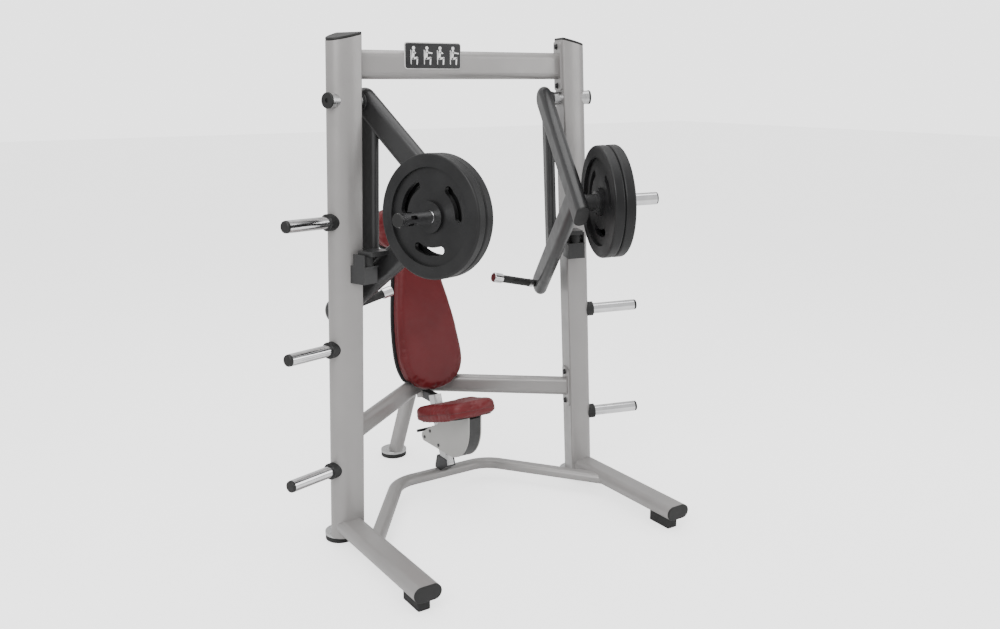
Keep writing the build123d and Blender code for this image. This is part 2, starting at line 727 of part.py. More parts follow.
def seat_outline(plane, inset=0.0):
    """Seat seen from above: wide at the back, notched there to clear the rail."""
    half = SEAT_LENGTH / 2
    with BuildSketch(plane) as outline:
        with BuildLine():
            Polyline(
                (SEAT_FRONT_WIDTH / 2, -half),
                (SEAT_REAR_WIDTH / 2, half),
                (-SEAT_REAR_WIDTH / 2, half),
                (-SEAT_FRONT_WIDTH / 2, -half),
                close=True,
            )
        make_face()
        fillet(outline.vertices().group_by(Axis.Y)[0], SEAT_FRONT_CORNER_R)
        fillet(outline.vertices().group_by(Axis.Y)[-1], SEAT_REAR_CORNER_R)
        if inset:
            offset(amount=-inset)
        with Locations((0, half)):
            RectangleRounded(SEAT_NOTCH[0], 2 * SEAT_NOTCH[1], 7.0, mode=Mode.SUBTRACT)
    return outline.sketch


BOARD_BELOW = SEAT.offset(-SEAT_T / 2)
SEAT_UP = Axis((0, 0, 0), SEAT.z_dir)
with BuildPart() as seat_board:
    extrude(seat_outline(BOARD_BELOW, SEAT_BOARD_INSET), amount=SEAT_BOARD_T)
save(seat_board.part, "seat_board")

with BuildPart() as seat_cushion:
    extrude(seat_outline(BOARD_BELOW), amount=SEAT_T)
    fillet(seat_cushion.faces().sort_by(SEAT_UP)[-1].edges(), SEAT_TOP_R)
    fillet(seat_cushion.faces().sort_by(SEAT_UP)[0].edges(), SEAT_UNDER_R)
    add(seat_board.part, mode=Mode.SUBTRACT)
save(seat_cushion.part, "seat_cushion")

# side plates: straight top under the board, an arc down the front, a rounded tail
fairing_y, fairing_z = FAIRING_CENTRE
PLATE_TAIL_Y = 303.0
PLATE_TAIL_R = 23.0
PLATE_FLOOR_Z = 203.0
PLATE_TOP_FRONT_Y = -100.0
PLATE_TOP_REAR_Y = 150.0


def under_board(y):
    """y, z of the seat board's underside."""
    rise = (y - BOARD_BELOW.origin.Y) * math.tan(math.radians(SEAT_TILT_DEG))
    return y, BOARD_BELOW.origin.Z - rise


def add_side_plate(x):
    with BuildSketch(Plane.YZ.offset(x)) as outline:
        with BuildLine():
            Line(under_board(PLATE_TOP_FRONT_Y), (fairing_y - FAIRING_R, fairing_z))
            CenterArc((fairing_y, fairing_z), FAIRING_R, 180, arc_size=90)
            Line((fairing_y, fairing_z - FAIRING_R), (PLATE_TAIL_Y, PLATE_FLOOR_Z))
            CenterArc((PLATE_TAIL_Y, PLATE_FLOOR_Z + PLATE_TAIL_R), PLATE_TAIL_R, -90,
                      arc_size=135)
            Polyline(
                (PLATE_TAIL_Y + PLATE_TAIL_R * math.sin(math.radians(45)),
                 PLATE_FLOOR_Z + PLATE_TAIL_R * (1 + math.sin(math.radians(45)))),
                (249, 284),
                (226, 300),
                (176, 320),
                under_board(PLATE_TOP_REAR_Y),
                under_board(PLATE_TOP_FRONT_Y),
            )
        make_face()
    extrude(outline.sketch, amount=CARRIAGE_PLATE_T)


sleeve_inner = (RAIL_WIDTH + 2 * SLIDE_CLEARANCE, RAIL_DEPTH + 2 * SLIDE_CLEARANCE)
plate_inner_x = CARRIAGE_HALF_WIDTH - CARRIAGE_PLATE_T
with BuildPart() as seat_carriage:
    add_side_plate(plate_inner_x)
    add_side_plate(-CARRIAGE_HALF_WIDTH)
    extrude(box_outline(rail_plane(SLEEVE_BOTTOM), 2 * plate_inner_x,
                        RAIL_DEPTH + 2 * SLEEVE_WALL, 4.0),
            amount=SLEEVE_TOP - SLEEVE_BOTTOM)
    with BuildSketch(BOARD_BELOW.offset(-CARRIAGE_PLATE_T)):
        with Locations((0, 20)):
            Rectangle(2 * CARRIAGE_HALF_WIDTH + 50, 150)
    extrude(amount=CARRIAGE_PLATE_T)
    extrude(box_outline(rail_plane(-RAIL_BELOW), *sleeve_inner, RAIL_CORNER_R),
            amount=2 * RAIL_BELOW, mode=Mode.SUBTRACT)
    with BuildSketch(rail_plane(SLEEVE_BOTTOM)):
        with Locations((0, RAIL_DEPTH / 2)):
            Rectangle(RACK_WIDTH + 4, 60)
    extrude(amount=SLEEVE_TOP - SLEEVE_BOTTOM, mode=Mode.SUBTRACT)
    for pin_y, pin_z in (PAWL_PIVOT, REAR_PIN, SLEEVE_SCREW):
        pin_plane = Plane(origin=(-60, pin_y, pin_z), z_dir=(1, 0, 0))
        add_rod(pin_plane, PIN_R + 0.02, 120, Mode.SUBTRACT)
save(seat_carriage.part, "seat_carriage")

with BuildPart() as seat_fairing:
    fairing_half = plate_inner_x - GAP
    with BuildSketch(Plane(origin=(-fairing_half, fairing_y, fairing_z), x_dir=(0, 1, 0),
                           z_dir=(1, 0, 0))):
        Circle(FAIRING_R - 1)
        Circle(FAIRING_R - 1 - FAIRING_T, mode=Mode.SUBTRACT)
        Rectangle(FAIRING_R, FAIRING_R, align=(Align.MAX, Align.MAX), mode=Mode.INTERSECT)
        with Locations((1 - FAIRING_R, 0)):
            Rectangle(FAIRING_T, 52, align=(Align.MIN, Align.MIN))
    extrude(amount=2 * fairing_half)
save(seat_fairing.part, "seat_fairing")

with BuildPart() as seat_pins:
    for pin_y, pin_z in (PAWL_PIVOT, REAR_PIN):
        left_face = Plane(origin=(-CARRIAGE_HALF_WIDTH, pin_y, pin_z), z_dir=(1, 0, 0))
        add_rod(left_face, PIN_R, 2 * CARRIAGE_HALF_WIDTH)
        add_rod(left_face, PIN_HEAD_R, -PIN_HEAD_T)
        add_rod(left_face.offset(2 * CARRIAGE_HALF_WIDTH), PIN_HEAD_R, PIN_HEAD_T)
    for side in (-1, 1):
        screw_face = Plane(origin=(side * CARRIAGE_HALF_WIDTH, *SLEEVE_SCREW),
                           z_dir=(side, 0, 0))
        add_rod(screw_face, PIN_HEAD_R, PIN_HEAD_T)
        add_rod(screw_face, PIN_R, -(CARRIAGE_PLATE_T + SLEEVE_WALL - 2))
save(seat_pins.part, "seat_pins")

# pawl: a nose that drops between the rack's teeth, and a lever with a cross handle
NOSE = RAIL.origin + RAIL.y_dir * (rack_back_y + RACK_DEPTH + 0.4) - RAIL.z_dir * 30
PAWL_HALF_WIDTH = 9.0
HANDLE = (352.0, 238.0)
HANDLE_R = 7.0
HANDLE_HALF_LENGTH = 42.0
pawl_y, pawl_z = PAWL_PIVOT
with BuildPart() as seat_pawl:
    lever = ((NOSE.Y, NOSE.Z), (NOSE.Y + 4, NOSE.Z - 9), (258, 254), (HANDLE[0], HANDLE[1] - 5),
             (HANDLE[0], HANDLE[1] + 5), (258, 278), (243, 278))
    extrude(side_outline(-PAWL_HALF_WIDTH, lever), amount=2 * PAWL_HALF_WIDTH)
    boss = Plane(origin=(-plate_inner_x + 1, pawl_y, pawl_z), z_dir=(1, 0, 0))
    add_rod(boss, 9.0, 2 * plate_inner_x - 2)
    add_rod(Plane(origin=(-HANDLE_HALF_LENGTH, *HANDLE), z_dir=(1, 0, 0)), HANDLE_R,
            2 * HANDLE_HALF_LENGTH)
    add_rod(boss.offset(-5), PIN_R + 0.05, 2 * plate_inner_x + 10, Mode.SUBTRACT)
save(seat_pawl.part, "seat_pawl")

# ------------------------------------------------------------------------------- arms
upper_direction = (HORN_PLACE[0], HORN_PLACE[1])
upper_reach = math.hypot(*upper_direction)
UPPER_UNIT = (upper_direction[0] / upper_reach, upper_direction[1] / upper_reach)
upper_length = upper_reach + ARM_FRONT_OVERHANG
ARM_END = at(ARM_U, UPPER_UNIT[0] * upper_length, UPPER_UNIT[1] * upper_length)
ARM_PIVOT = at(ARM_U, 0, 0)


def swing_normal(start, end):
    """Direction in the swing plane square to the line from start to end."""
    return OUT.cross((end - start).normalized())


def add_arm_tube(start, end, depth, thickness, wall=0.0, mode=Mode.ADD):
    add_tube(start, end, swing_normal(start, end), depth, thickness, wall, mode)


def add_round_end(v, w, inset=0.0, mode=Mode.ADD):
    """Rounded end of an arm tube: a disc with a full-round rim."""
    thickness = ARM_THICKNESS - 2 * inset
    plane = facing_out(ARM_U - thickness / 2, v, w)
    radius = ARM_DEPTH / 2 - inset
    profile_plane = Plane(origin=plane.origin, x_dir=plane.x_dir, z_dir=-plane.y_dir)
    with BuildSketch(profile_plane) as profile:
        Rectangle(radius - thickness / 2, thickness, align=(Align.MIN, Align.MIN))
        with Locations((radius - thickness / 2, thickness / 2)):
            Circle(thickness / 2)
    revolve(profile.sketch, axis=Axis(plane.origin, OUT), mode=mode)


def add_arm_tubes(wall, mode):
    """The three tubes of an arm, or their bores."""
    add_arm_tube(ARM_PIVOT, ARM_END, ARM_DEPTH, ARM_THICKNESS, wall, mode)
    add_arm_tube(at(ARM_U, *JOINT), at(ARM_U, *ELBOW), ARM_DEPTH, ARM_THICKNESS, wall, mode)
    add_arm_tube(at(LINK_U, LINK_V, -26), at(LINK_U, LINK_V, LINK_BOTTOM_W), LINK_DEPTH,
                 LINK_THICKNESS, wall, mode)
    add_round_end(0, 0, wall, mode)
    add_round_end(*ELBOW, wall, mode)


grip_root = at(*GRIP_ROOT)
grip_tip = at(*GRIP_END)
GRIP = Plane(origin=grip_root, z_dir=grip_tip - grip_root)
grip_length = (grip_tip - grip_root).length
ARM_INNER_U = ARM_U - ARM_THICKNESS / 2
ARM_OUTER_U = ARM_U + ARM_THICKNESS / 2

with BuildPart() as arm_frame:
    add_arm_tubes(0.0, Mode.ADD)
    add_arm_tubes(TUBE_WALL, Mode.SUBTRACT)
    add_rod(facing_out(ARM_INNER_U, 0, 0), HUB_R, BARREL_INNER_U - 0.5 - ARM_INNER_U)
    add_rod(facing_out(ARM_INNER_U, *HORN_PLACE), HORN_SLEEVE_R,
            HORN_SLEEVE_END_U - ARM_INNER_U)
    add_rod(facing_out(HORN_SLEEVE_END_U - FLANGE_T, *HORN_PLACE), HORN_FLANGE_R, FLANGE_T)
    add_station_box(LUG_U, LUG_V, LUG_W)
    add_rod(GRIP.offset(-12), GRIP_STUB_R, 12 + GRIP_STUB)
    add_rod(facing_out(ARM_INNER_U + 3, 0, 0), SHAFT_R + 0.02, 100, Mode.SUBTRACT)
    add_rod(facing_out(ARM_INNER_U + 3, *HORN_PLACE), HORN_R + 0.02, 200, Mode.SUBTRACT)
save_pair(arm_frame.part, "arm_frame")

with BuildPart() as arm_tube_cap:
    outward = (ARM_END - ARM_PIVOT).normalized()
    add_end_cap(ARM_END, outward, swing_normal(ARM_PIVOT, ARM_END), ARM_DEPTH,
                ARM_THICKNESS, HORN_CAP_T)
    fillet(arm_tube_cap.faces().sort_by(Axis((0, 0, 0), outward))[-1].edges(), 2.0)
save_pair(arm_tube_cap.part, "arm_tube_cap")

with BuildPart() as pivot_shaft:
    add_rod(facing_out(ARM_INNER_U + 3.2, 0, 0), SHAFT_R, BARREL_OUTER_U - 7 - ARM_INNER_U)
    chamfer(pivot_shaft.edges(), 1.0)
save_pair(pivot_shaft.part, "pivot_shaft")

with BuildPart() as pivot_barrel:
    barrel_start = facing_out(BARREL_INNER_U, 0, 0)
    add_rod(barrel_start, BARREL_R, BARREL_OUTER_U - BARREL_INNER_U)
    add_rod(barrel_start, BARREL_BORE_R, BARREL_OUTER_U - BARREL_INNER_U, Mode.SUBTRACT)
save_both_sides(pivot_barrel.part, "pivot_barrels")

with BuildPart() as pivot_bushes:
    for bush_u in (BARREL_INNER_U, BARREL_OUTER_U - BUSH_LENGTH):
        add_rod(facing_out(bush_u, 0, 0), BARREL_BORE_R - 0.02, BUSH_LENGTH)
        add_rod(facing_out(bush_u, 0, 0), SHAFT_R + SHAFT_CLEARANCE, BUSH_LENGTH,
                Mode.SUBTRACT)
save_both_sides(pivot_bushes.part, "pivot_bushes")

with BuildPart() as pivot_end_cap:
    cap_face = facing_out(BARREL_OUTER_U, 0, 0)
    add_rod(cap_face, BARREL_R + 1, BARREL_CAP_T)
    fillet(pivot_end_cap.faces().sort_by(Axis((0, 0, 0), OUT))[-1].edges(), 3.0)
    hex_recess = hexagon(cap_face.offset(BARREL_CAP_T), 9.0)
    extrude(hex_recess, amount=-5.0, mode=Mode.SUBTRACT)
save_both_sides(pivot_end_cap.part, "pivot_end_caps")

# ------------------------------------------------------------- horns, plates and pegs
with BuildPart() as weight_horn:
    horn_start = facing_out(ARM_INNER_U + 3.2, *HORN_PLACE)
    add_rod(horn_start, HORN_R, HORN_GROOVE_U[0] - ARM_INNER_U - 3.2)
    add_rod(facing_out(HORN_GROOVE_U[0], *HORN_PLACE), HORN_GROOVE_R,
            HORN_GROOVE_U[1] - HORN_GROOVE_U[0])
    add_rod(facing_out(HORN_GROOVE_U[1], *HORN_PLACE), HORN_R, HORN_END_U - HORN_GROOVE_U[1])
    cross_hole = Plane(origin=at(HORN_END_U - 20, HORN_PLACE[0], HORN_PLACE[1] - 40),
                       z_dir=UP)
    add_rod(cross_hole, HORN_PIN_HOLE_R, 80, Mode.SUBTRACT)
save_pair(weight_horn.part, "weight_horn")


with BuildPart() as horn_cap:
    add_rod(facing_out(HORN_END_U, *HORN_PLACE), HORN_CAP_R, HORN_CAP_T)
    fillet(horn_cap.faces().sort_by(Axis((0, 0, 0), OUT))[-1].edges(), 3.0)
save_pair(horn_cap.part, "horn_cap")


def make_plate(inner_u, name):
    """Weight plate: thick rim and hub, a thin web, and three curved grip slots."""
    face = facing_out(inner_u, *HORN_PLACE)
    recess = (PLATE_T - PLATE_WEB_T) / 2
    with BuildPart() as plate:
        add_rod(face, PLATE_R, PLATE_T)
        fillet(plate.edges(), 9.0)
        for side_face, direction in ((face, 1), (face.offset(PLATE_T), -1)):
            with BuildSketch(side_face) as ring:
                Circle(PLATE_RIM_R)
                Circle(PLATE_HUB_R, mode=Mode.SUBTRACT)
            extrude(ring.sketch, amount=direction * recess, mode=Mode.SUBTRACT)
        with BuildSketch(face) as slots:
            for angle in SLOT_ANGLES_DEG:
                first = 180 - angle - SLOT_SWEEP_DEG / 2
                with BuildLine(mode=Mode.PRIVATE) as arc:
                    CenterArc((0, 0), SLOT_RADIUS, first, arc_size=SLOT_SWEEP_DEG)
                SlotArc(arc.edges()[0], SLOT_WIDTH)
            Circle(PLATE_BORE_R)
        extrude(slots.sketch, amount=PLATE_T, mode=Mode.SUBTRACT)
    save_pair(plate.part, name)


make_plate(HORN_SLEEVE_END_U + PLATE_GAP, "inner_plate")
make_plate(HORN_SLEEVE_END_U + PLATE_T + 2 * PLATE_GAP, "outer_plate")

with BuildPart() as storage_pegs:
    for peg_w in PEG_HEIGHTS_W:
        free_start_u = COLLAR_END_U + PEG_RELIEF
        add_rod(facing_out(PEG_ROOT_U, POST_V, peg_w), PEG_ROOT_R, free_start_u - PEG_ROOT_U)
        add_rod(facing_out(free_start_u, POST_V, peg_w), PEG_R,
                PEG_TIP_U - PEG_CAP_T - free_start_u)
save_both_sides(storage_pegs.part, "storage_pegs")

with BuildPart() as peg_caps:
    for peg_w in PEG_HEIGHTS_W:
        add_rod(facing_out(PEG_TIP_U - PEG_CAP_T, POST_V, peg_w), PEG_CAP_R, PEG_CAP_T)
    fillet(peg_caps.faces().filter_by(Plane(origin=(0, 0, 0), z_dir=OUT))
           .group_by(Axis((0, 0, 0), OUT))[-1].edges(), 7.0)
save_both_sides(peg_caps.part, "peg_caps")

with BuildPart() as peg_collars:
    for peg_w in PEG_HEIGHTS_W:
        add_rod(facing_out(60, POST_V, peg_w), COLLAR_R, COLLAR_END_U - 60)
        add_rod(facing_out(50, POST_V, peg_w), PEG_ROOT_R + 0.1, 100, Mode.SUBTRACT)
    add(post_block.part, mode=Mode.SUBTRACT)
save_both_sides(peg_collars.part, "peg_collars")

# ------------------------------------------------------------------------------ grips
with BuildPart() as grip_bar:
    add_rod(GRIP.offset(GRIP_STUB), GRIP_CORE_R, grip_length - GRIP_STUB - 5)
    add_rod(GRIP.offset(GRIP_STUB), GRIP_RING_R, GRIP_RING)
    add_rod(GRIP.offset(grip_length - GRIP_KNOB), GRIP_KNOB_R, GRIP_KNOB)
    knob_end = grip_bar.faces().sort_by(Axis((0, 0, 0), GRIP.z_dir))[-1]
    fillet(knob_end.edges(), 5.0)
save_pair(grip_bar.part, "grip_bar")

with BuildPart() as grip_sleeve:
    sleeve_start = GRIP.offset(GRIP_STUB + GRIP_RING)
    sleeve_length = grip_length - GRIP_STUB - GRIP_RING - GRIP_KNOB
    add_rod(sleeve_start, GRIP_SLEEVE_R, sleeve_length)
    add_rod(sleeve_start, GRIP_CORE_R + 0.02, sleeve_length, Mode.SUBTRACT)
save_pair(grip_sleeve.part, "grip_sleeve")

# ------------------------------------------------------------------------------ stops
with BuildPart() as stop_bracket:
    add_station_box(STOP_U, (30, STOP_V - 4), (STOP_W[0], STOP_W[1] - STOP_WALL))
    add_station_box((STOP_U[0] + STOP_WALL, STOP_U[1] - STOP_WALL),
                    (20, STOP_V - 4 - STOP_WALL),
                    (STOP_W[0] - 5, STOP_W[1] - STOP_WALL), Mode.SUBTRACT)
    add_station_box((STOP_U[0] - 2, STOP_U[1]), (30, STOP_V), (STOP_W[1] - STOP_WALL, STOP_W[1]))
    add_station_box((STOP_U[1] - STOP_WALL, STOP_U[1]), (60, STOP_V - 4),
                    (STOP_W[1] - 1, STOP_CHEEK_W))
    add(post_block.part, mode=Mode.SUBTRACT)
save_both_sides(stop_bracket.part, "stop_brackets")

with BuildPart() as stop_bumper:
    bumper_base = facing_out(BUMPER_PLACE[0], BUMPER_PLACE[1], STOP_W[1])
    upright = Plane(origin=bumper_base.origin, z_dir=UP)
    bumper_height = LUG_W[0] - GAP - STOP_W[1]
    add_rod(upright, BUMPER_R, bumper_height)
    fillet(stop_bumper.faces().sort_by(Axis((0, 0, 0), UP))[-1].edges(), 5.0)
save_both_sides(stop_bumper.part, "stop_bumpers")

# ------------------------------------------------------------------------------ bolts
with BuildPart() as frame_bolts:
    for bolt_v, bolt_w in FLANGE_BOLTS:
        seat_plane = facing_out(-FLANGE_T, bolt_v, bolt_w)
        add_rod(seat_plane, WASHER_R, -WASHER_T)
        extrude(hexagon(seat_plane.offset(-WASHER_T), BOLT_HEAD_R), amount=-BOLT_HEAD_T)
        add_rod(seat_plane, BOLT_R, FLANGE_T + BOLT_REACH)
save_both_sides(frame_bolts.part, "frame_bolts")
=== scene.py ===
import json
import math

import bmesh
import bpy
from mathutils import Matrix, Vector


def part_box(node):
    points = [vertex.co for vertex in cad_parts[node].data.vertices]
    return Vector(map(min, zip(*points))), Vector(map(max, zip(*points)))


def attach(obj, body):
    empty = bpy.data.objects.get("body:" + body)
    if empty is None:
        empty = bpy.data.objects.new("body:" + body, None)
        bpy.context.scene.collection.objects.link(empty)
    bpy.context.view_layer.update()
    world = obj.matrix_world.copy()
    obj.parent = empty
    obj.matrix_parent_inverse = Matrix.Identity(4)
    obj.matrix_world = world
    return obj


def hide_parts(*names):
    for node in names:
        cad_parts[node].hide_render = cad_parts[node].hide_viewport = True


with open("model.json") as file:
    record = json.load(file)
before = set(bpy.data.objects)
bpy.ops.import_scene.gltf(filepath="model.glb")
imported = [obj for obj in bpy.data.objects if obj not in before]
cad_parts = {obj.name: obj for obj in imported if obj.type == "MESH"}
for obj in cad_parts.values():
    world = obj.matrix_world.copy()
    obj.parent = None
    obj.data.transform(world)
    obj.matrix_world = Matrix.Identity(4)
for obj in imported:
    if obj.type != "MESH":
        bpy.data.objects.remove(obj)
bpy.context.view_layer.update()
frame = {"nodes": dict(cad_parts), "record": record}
nodes = frame["nodes"]
record = frame["record"]

# camera, in metres and degrees, in the machine's own frame
CAMERA_PLACE = (-2.117, -3.497, 1.860)
CAMERA_AZIMUTH_DEG = -33.48
CAMERA_DOWN_DEG = 13.6
LENS_MM = 35.0

# cushions
VOXEL = 0.005
PRESSURE = 4.0
CLOTH_FRAMES = 20
SWELL_LIMIT = 0.009
SHRINK = 0.004
PAD_LEAN = math.radians(16.5)
SEAT_TILT = math.radians(16.6)
SEAM_RADIUS = 0.0012
WELD_DISTANCE = 0.0002        # points of a CAD mesh closer than this are one
CLOTH_QUALITY = 5
TENSION = 20.0
COMPRESSION = 12.0
BENDING = 1.2
SMOOTH_ROUNDS = 4

# printed figures on the placard
PRINT_LIFT = 0.0004
FIGURE_REACHES = (0.10, 0.30, 0.16, 0.34)
FIRST_FIGURE = 0.14           # along the placard, as a part of its width
FIGURE_STEP = 0.24
FIGURE_SIZE = 0.78            # as a part of the placard's height
STROKE_STEPS = 6
HEAD_STEPS = 20

# weld beads
HORN_MIDDLE_FROM_ARM = 0.22275  # from the horn mount's middle back to the arm's face
HUB_FROM_PIVOT = -0.044         # the arm's outer face, from the pivot along its axis
WELD_BEAD = 0.004
HORN_SLEEVE_RADIUS = 0.033
HUB_RADIUS = 0.031
WELD_STEPS = 96
WELD_SECTION = 8
RIPPLE = 0.12
RIPPLE_PITCH = 2.1

# stage
FLOOR_SIZE = 60
FLOOR_DROP = 0.0005
FLOOR_GLOW = 1.6                # seen by the camera only, so that the floor looks pale
BACKDROP_GLOW = 1.8
WORLD_LIGHT = 0.85
LIGHT_TARGET = (0, 0, 0.9)
SENSOR_MM = 36.0

BLACK = (0.006, 0.006, 0.006)


# ------------------------------------------------------------------ material parts
def start_material(name):
    """A new material, its tree and its Principled shader."""
    material = bpy.data.materials.new(name)
    material.use_nodes = True
    tree = material.node_tree
    return material, tree, tree.nodes["Principled BSDF"]


def noise(tree, scale, detail=4.0, stretch=(1, 1, 1)):
    """Fractal noise over the object's own coordinates."""
    place = tree.nodes.new("ShaderNodeTexCoord")
    mapping = tree.nodes.new("ShaderNodeMapping")
    mapping.inputs["Scale"].default_value = stretch
    tree.links.new(place.outputs["Object"], mapping.inputs["Vector"])
    node = tree.nodes.new("ShaderNodeTexNoise")
    node.inputs["Scale"].default_value = scale
    node.inputs["Detail"].default_value = detail
    tree.links.new(mapping.outputs["Vector"], node.inputs["Vector"])
    return node.outputs["Fac"]


def cells(tree, scale, feature="DISTANCE_TO_EDGE"):
    """Cell pattern, as of pressed grain."""
    place = tree.nodes.new("ShaderNodeTexCoord")
    node = tree.nodes.new("ShaderNodeTexVoronoi")
    node.feature = feature
    node.inputs["Scale"].default_value = scale
    tree.links.new(place.outputs["Object"], node.inputs["Vector"])
    return node.outputs["Distance"]


def value_between(tree, source, low, high, start=0.3, stop=0.7):
    """A number that runs from low to high as source runs from start to stop."""
    node = tree.nodes.new("ShaderNodeMapRange")
    node.inputs["From Min"].default_value = start
    node.inputs["From Max"].default_value = stop
    node.inputs["To Min"].default_value = low
    node.inputs["To Max"].default_value = high
    tree.links.new(source, node.inputs["Value"])
    return node.outputs["Result"]


def colour_between(tree, source, low, high, start=0.3, stop=0.7):
    """A colour that runs from low to high as source runs from start to stop."""
    node = tree.nodes.new("ShaderNodeValToRGB")
    node.color_ramp.elements[0].position = start
    node.color_ramp.elements[0].color = (*low, 1)
    node.color_ramp.elements[1].position = stop
    node.color_ramp.elements[1].color = (*high, 1)
    tree.links.new(source, node.inputs["Fac"])
    return node.outputs["Color"]


def bump(tree, shader, heights):
    """Surface relief from several (height, strength, distance) layers."""
    normal = None
    for height, strength, distance in heights:
        node = tree.nodes.new("ShaderNodeBump")
        node.inputs["Strength"].default_value = strength
        node.inputs["Distance"].default_value = distance
        tree.links.new(height, node.inputs["Height"])
        if normal:
            tree.links.new(normal, node.inputs["Normal"])
        normal = node.outputs["Normal"]
    tree.links.new(normal, shader.inputs["Normal"])


def tone(colour, factor):
    return tuple(min(1.0, part * factor) for part in colour)


# ----------------------------------------------------------------------- materials
def paint(name, colour, roughness, metallic=0.0):
    """Powder coat: faint tone drift, orange peel and a satin clear layer."""
    material, tree, shader = start_material(name)
    drift = noise(tree, 3.0, 3.0)
    speckle = noise(tree, 1400.0, 2.0)
    tree.links.new(colour_between(tree, drift, tone(colour, 0.93), tone(colour, 1.07)),
                   shader.inputs["Base Color"])
    wear = noise(tree, 18.0, 8.0)
    tree.links.new(value_between(tree, wear, roughness - 0.05, roughness + 0.08),
                   shader.inputs["Roughness"])
    shader.inputs["Metallic"].default_value = metallic
    shader.inputs["Coat Weight"].default_value = 0.25
    shader.inputs["Coat Roughness"].default_value = 0.22
    bump(tree, shader, [(noise(tree, 420.0, 2.0), 0.10, 0.0006), (speckle, 0.06, 0.0002)])
    return material


def chrome(name):
    """Polished plate with faint smears and fine rubbing marks."""
    material, tree, shader = start_material(name)
    smear = noise(tree, 26.0, 6.0)
    tree.links.new(colour_between(tree, smear, (0.72, 0.72, 0.73), (0.86, 0.86, 0.87)),
                   shader.inputs["Base Color"])
    tree.links.new(value_between(tree, smear, 0.05, 0.16), shader.inputs["Roughness"])
    shader.inputs["Metallic"].default_value = 1.0
    bump(tree, shader, [(noise(tree, 700.0, 3.0, (1, 0.1, 1)), 0.04, 0.0002)])
    return material


def steel(name, colour, roughness):
    """Machined steel with fine turning marks."""
    material, tree, shader = start_material(name)
    marks = noise(tree, 380.0, 5.0, (0.15, 1, 1))
    tree.links.new(colour_between(tree, marks, tone(colour, 0.85), tone(colour, 1.1)),
                   shader.inputs["Base Color"])
    tree.links.new(value_between(tree, marks, roughness - 0.06, roughness + 0.1),
                   shader.inputs["Roughness"])
    shader.inputs["Metallic"].default_value = 0.95
    bump(tree, shader, [(marks, 0.08, 0.0003)])
    return material


def moulded(name, colour, roughness, grain=900.0, depth=0.18):
    """Moulded plastic or rubber with spark-eroded grain."""
    material, tree, shader = start_material(name)
    dust = noise(tree, 30.0, 6.0)
    tree.links.new(colour_between(tree, dust, tone(colour, 0.85), tone(colour, 1.3)),
                   shader.inputs["Base Color"])
    tree.links.new(value_between(tree, dust, roughness - 0.05, roughness + 0.1),
                   shader.inputs["Roughness"])
    bump(tree, shader, [(noise(tree, grain, 3.0), depth, 0.0005)])
    return material


def cast_iron(name):
    """Black enamel over a cast surface, rubbed lighter here and there."""
    material, tree, shader = start_material(name)
    rubbed = noise(tree, 9.0, 9.0)
    tree.links.new(colour_between(tree, rubbed, (0.009, 0.009, 0.0095), (0.017, 0.017, 0.0175)),
                   shader.inputs["Base Color"])
    tree.links.new(value_between(tree, rubbed, 0.34, 0.52), shader.inputs["Roughness"])
    shader.inputs["Specular IOR Level"].default_value = 0.3
    bump(tree, shader, [(noise(tree, 60.0, 4.0), 0.10, 0.002),
                        (noise(tree, 420.0, 4.0), 0.16, 0.0007)])
    return material


def vinyl(name):
    """Dark red upholstery vinyl: pressed grain, soft sheen, tone drift."""
    material, tree, shader = start_material(name)
    drift = noise(tree, 5.0, 5.0)
    tree.links.new(colour_between(tree, drift, (0.100, 0.006, 0.008), (0.135, 0.010, 0.013)),
                   shader.inputs["Base Color"])
    pores = cells(tree, 520.0)
    tree.links.new(value_between(tree, noise(tree, 40.0, 5.0), 0.36, 0.5),
                   shader.inputs["Roughness"])
    shader.inputs["Specular IOR Level"].default_value = 0.35
    shader.inputs["Coat Weight"].default_value = 0.04
    shader.inputs["Coat Roughness"].default_value = 0.35
    bump(tree, shader, [(noise(tree, 14.0, 3.0), 0.14, 0.006), (pores, 0.30, 0.0006)])
    return material


def cloth_board(name):
    """Black dust cloth over plywood: a fine crossed weave."""
    material, tree, shader = start_material(name)
    along = noise(tree, 900.0, 1.0, (1, 0.05, 1))
    tree.links.new(colour_between(tree, along, (0.008, 0.008, 0.008), (0.026, 0.026, 0.026)),
                   shader.inputs["Base Color"])
    shader.inputs["Roughness"].default_value = 0.85
    bump(tree, shader, [(along, 0.3, 0.0005), (noise(tree, 900.0, 1.0, (0.05, 1, 1)), 0.3, 0.0005)])
    return material


def grip_rubber(name):
    """Soft grip sleeve with a fine cell-pattern bump."""
    material, tree, shader = start_material(name)
    dust = noise(tree, 60.0, 5.0)
    tree.links.new(colour_between(tree, dust, (0.010, 0.010, 0.010), (0.030, 0.030, 0.030)),
                   shader.inputs["Base Color"])
    shader.inputs["Roughness"].default_value = 0.62
    bump(tree, shader, [(cells(tree, 330.0), 0.4, 0.001)])
    return material


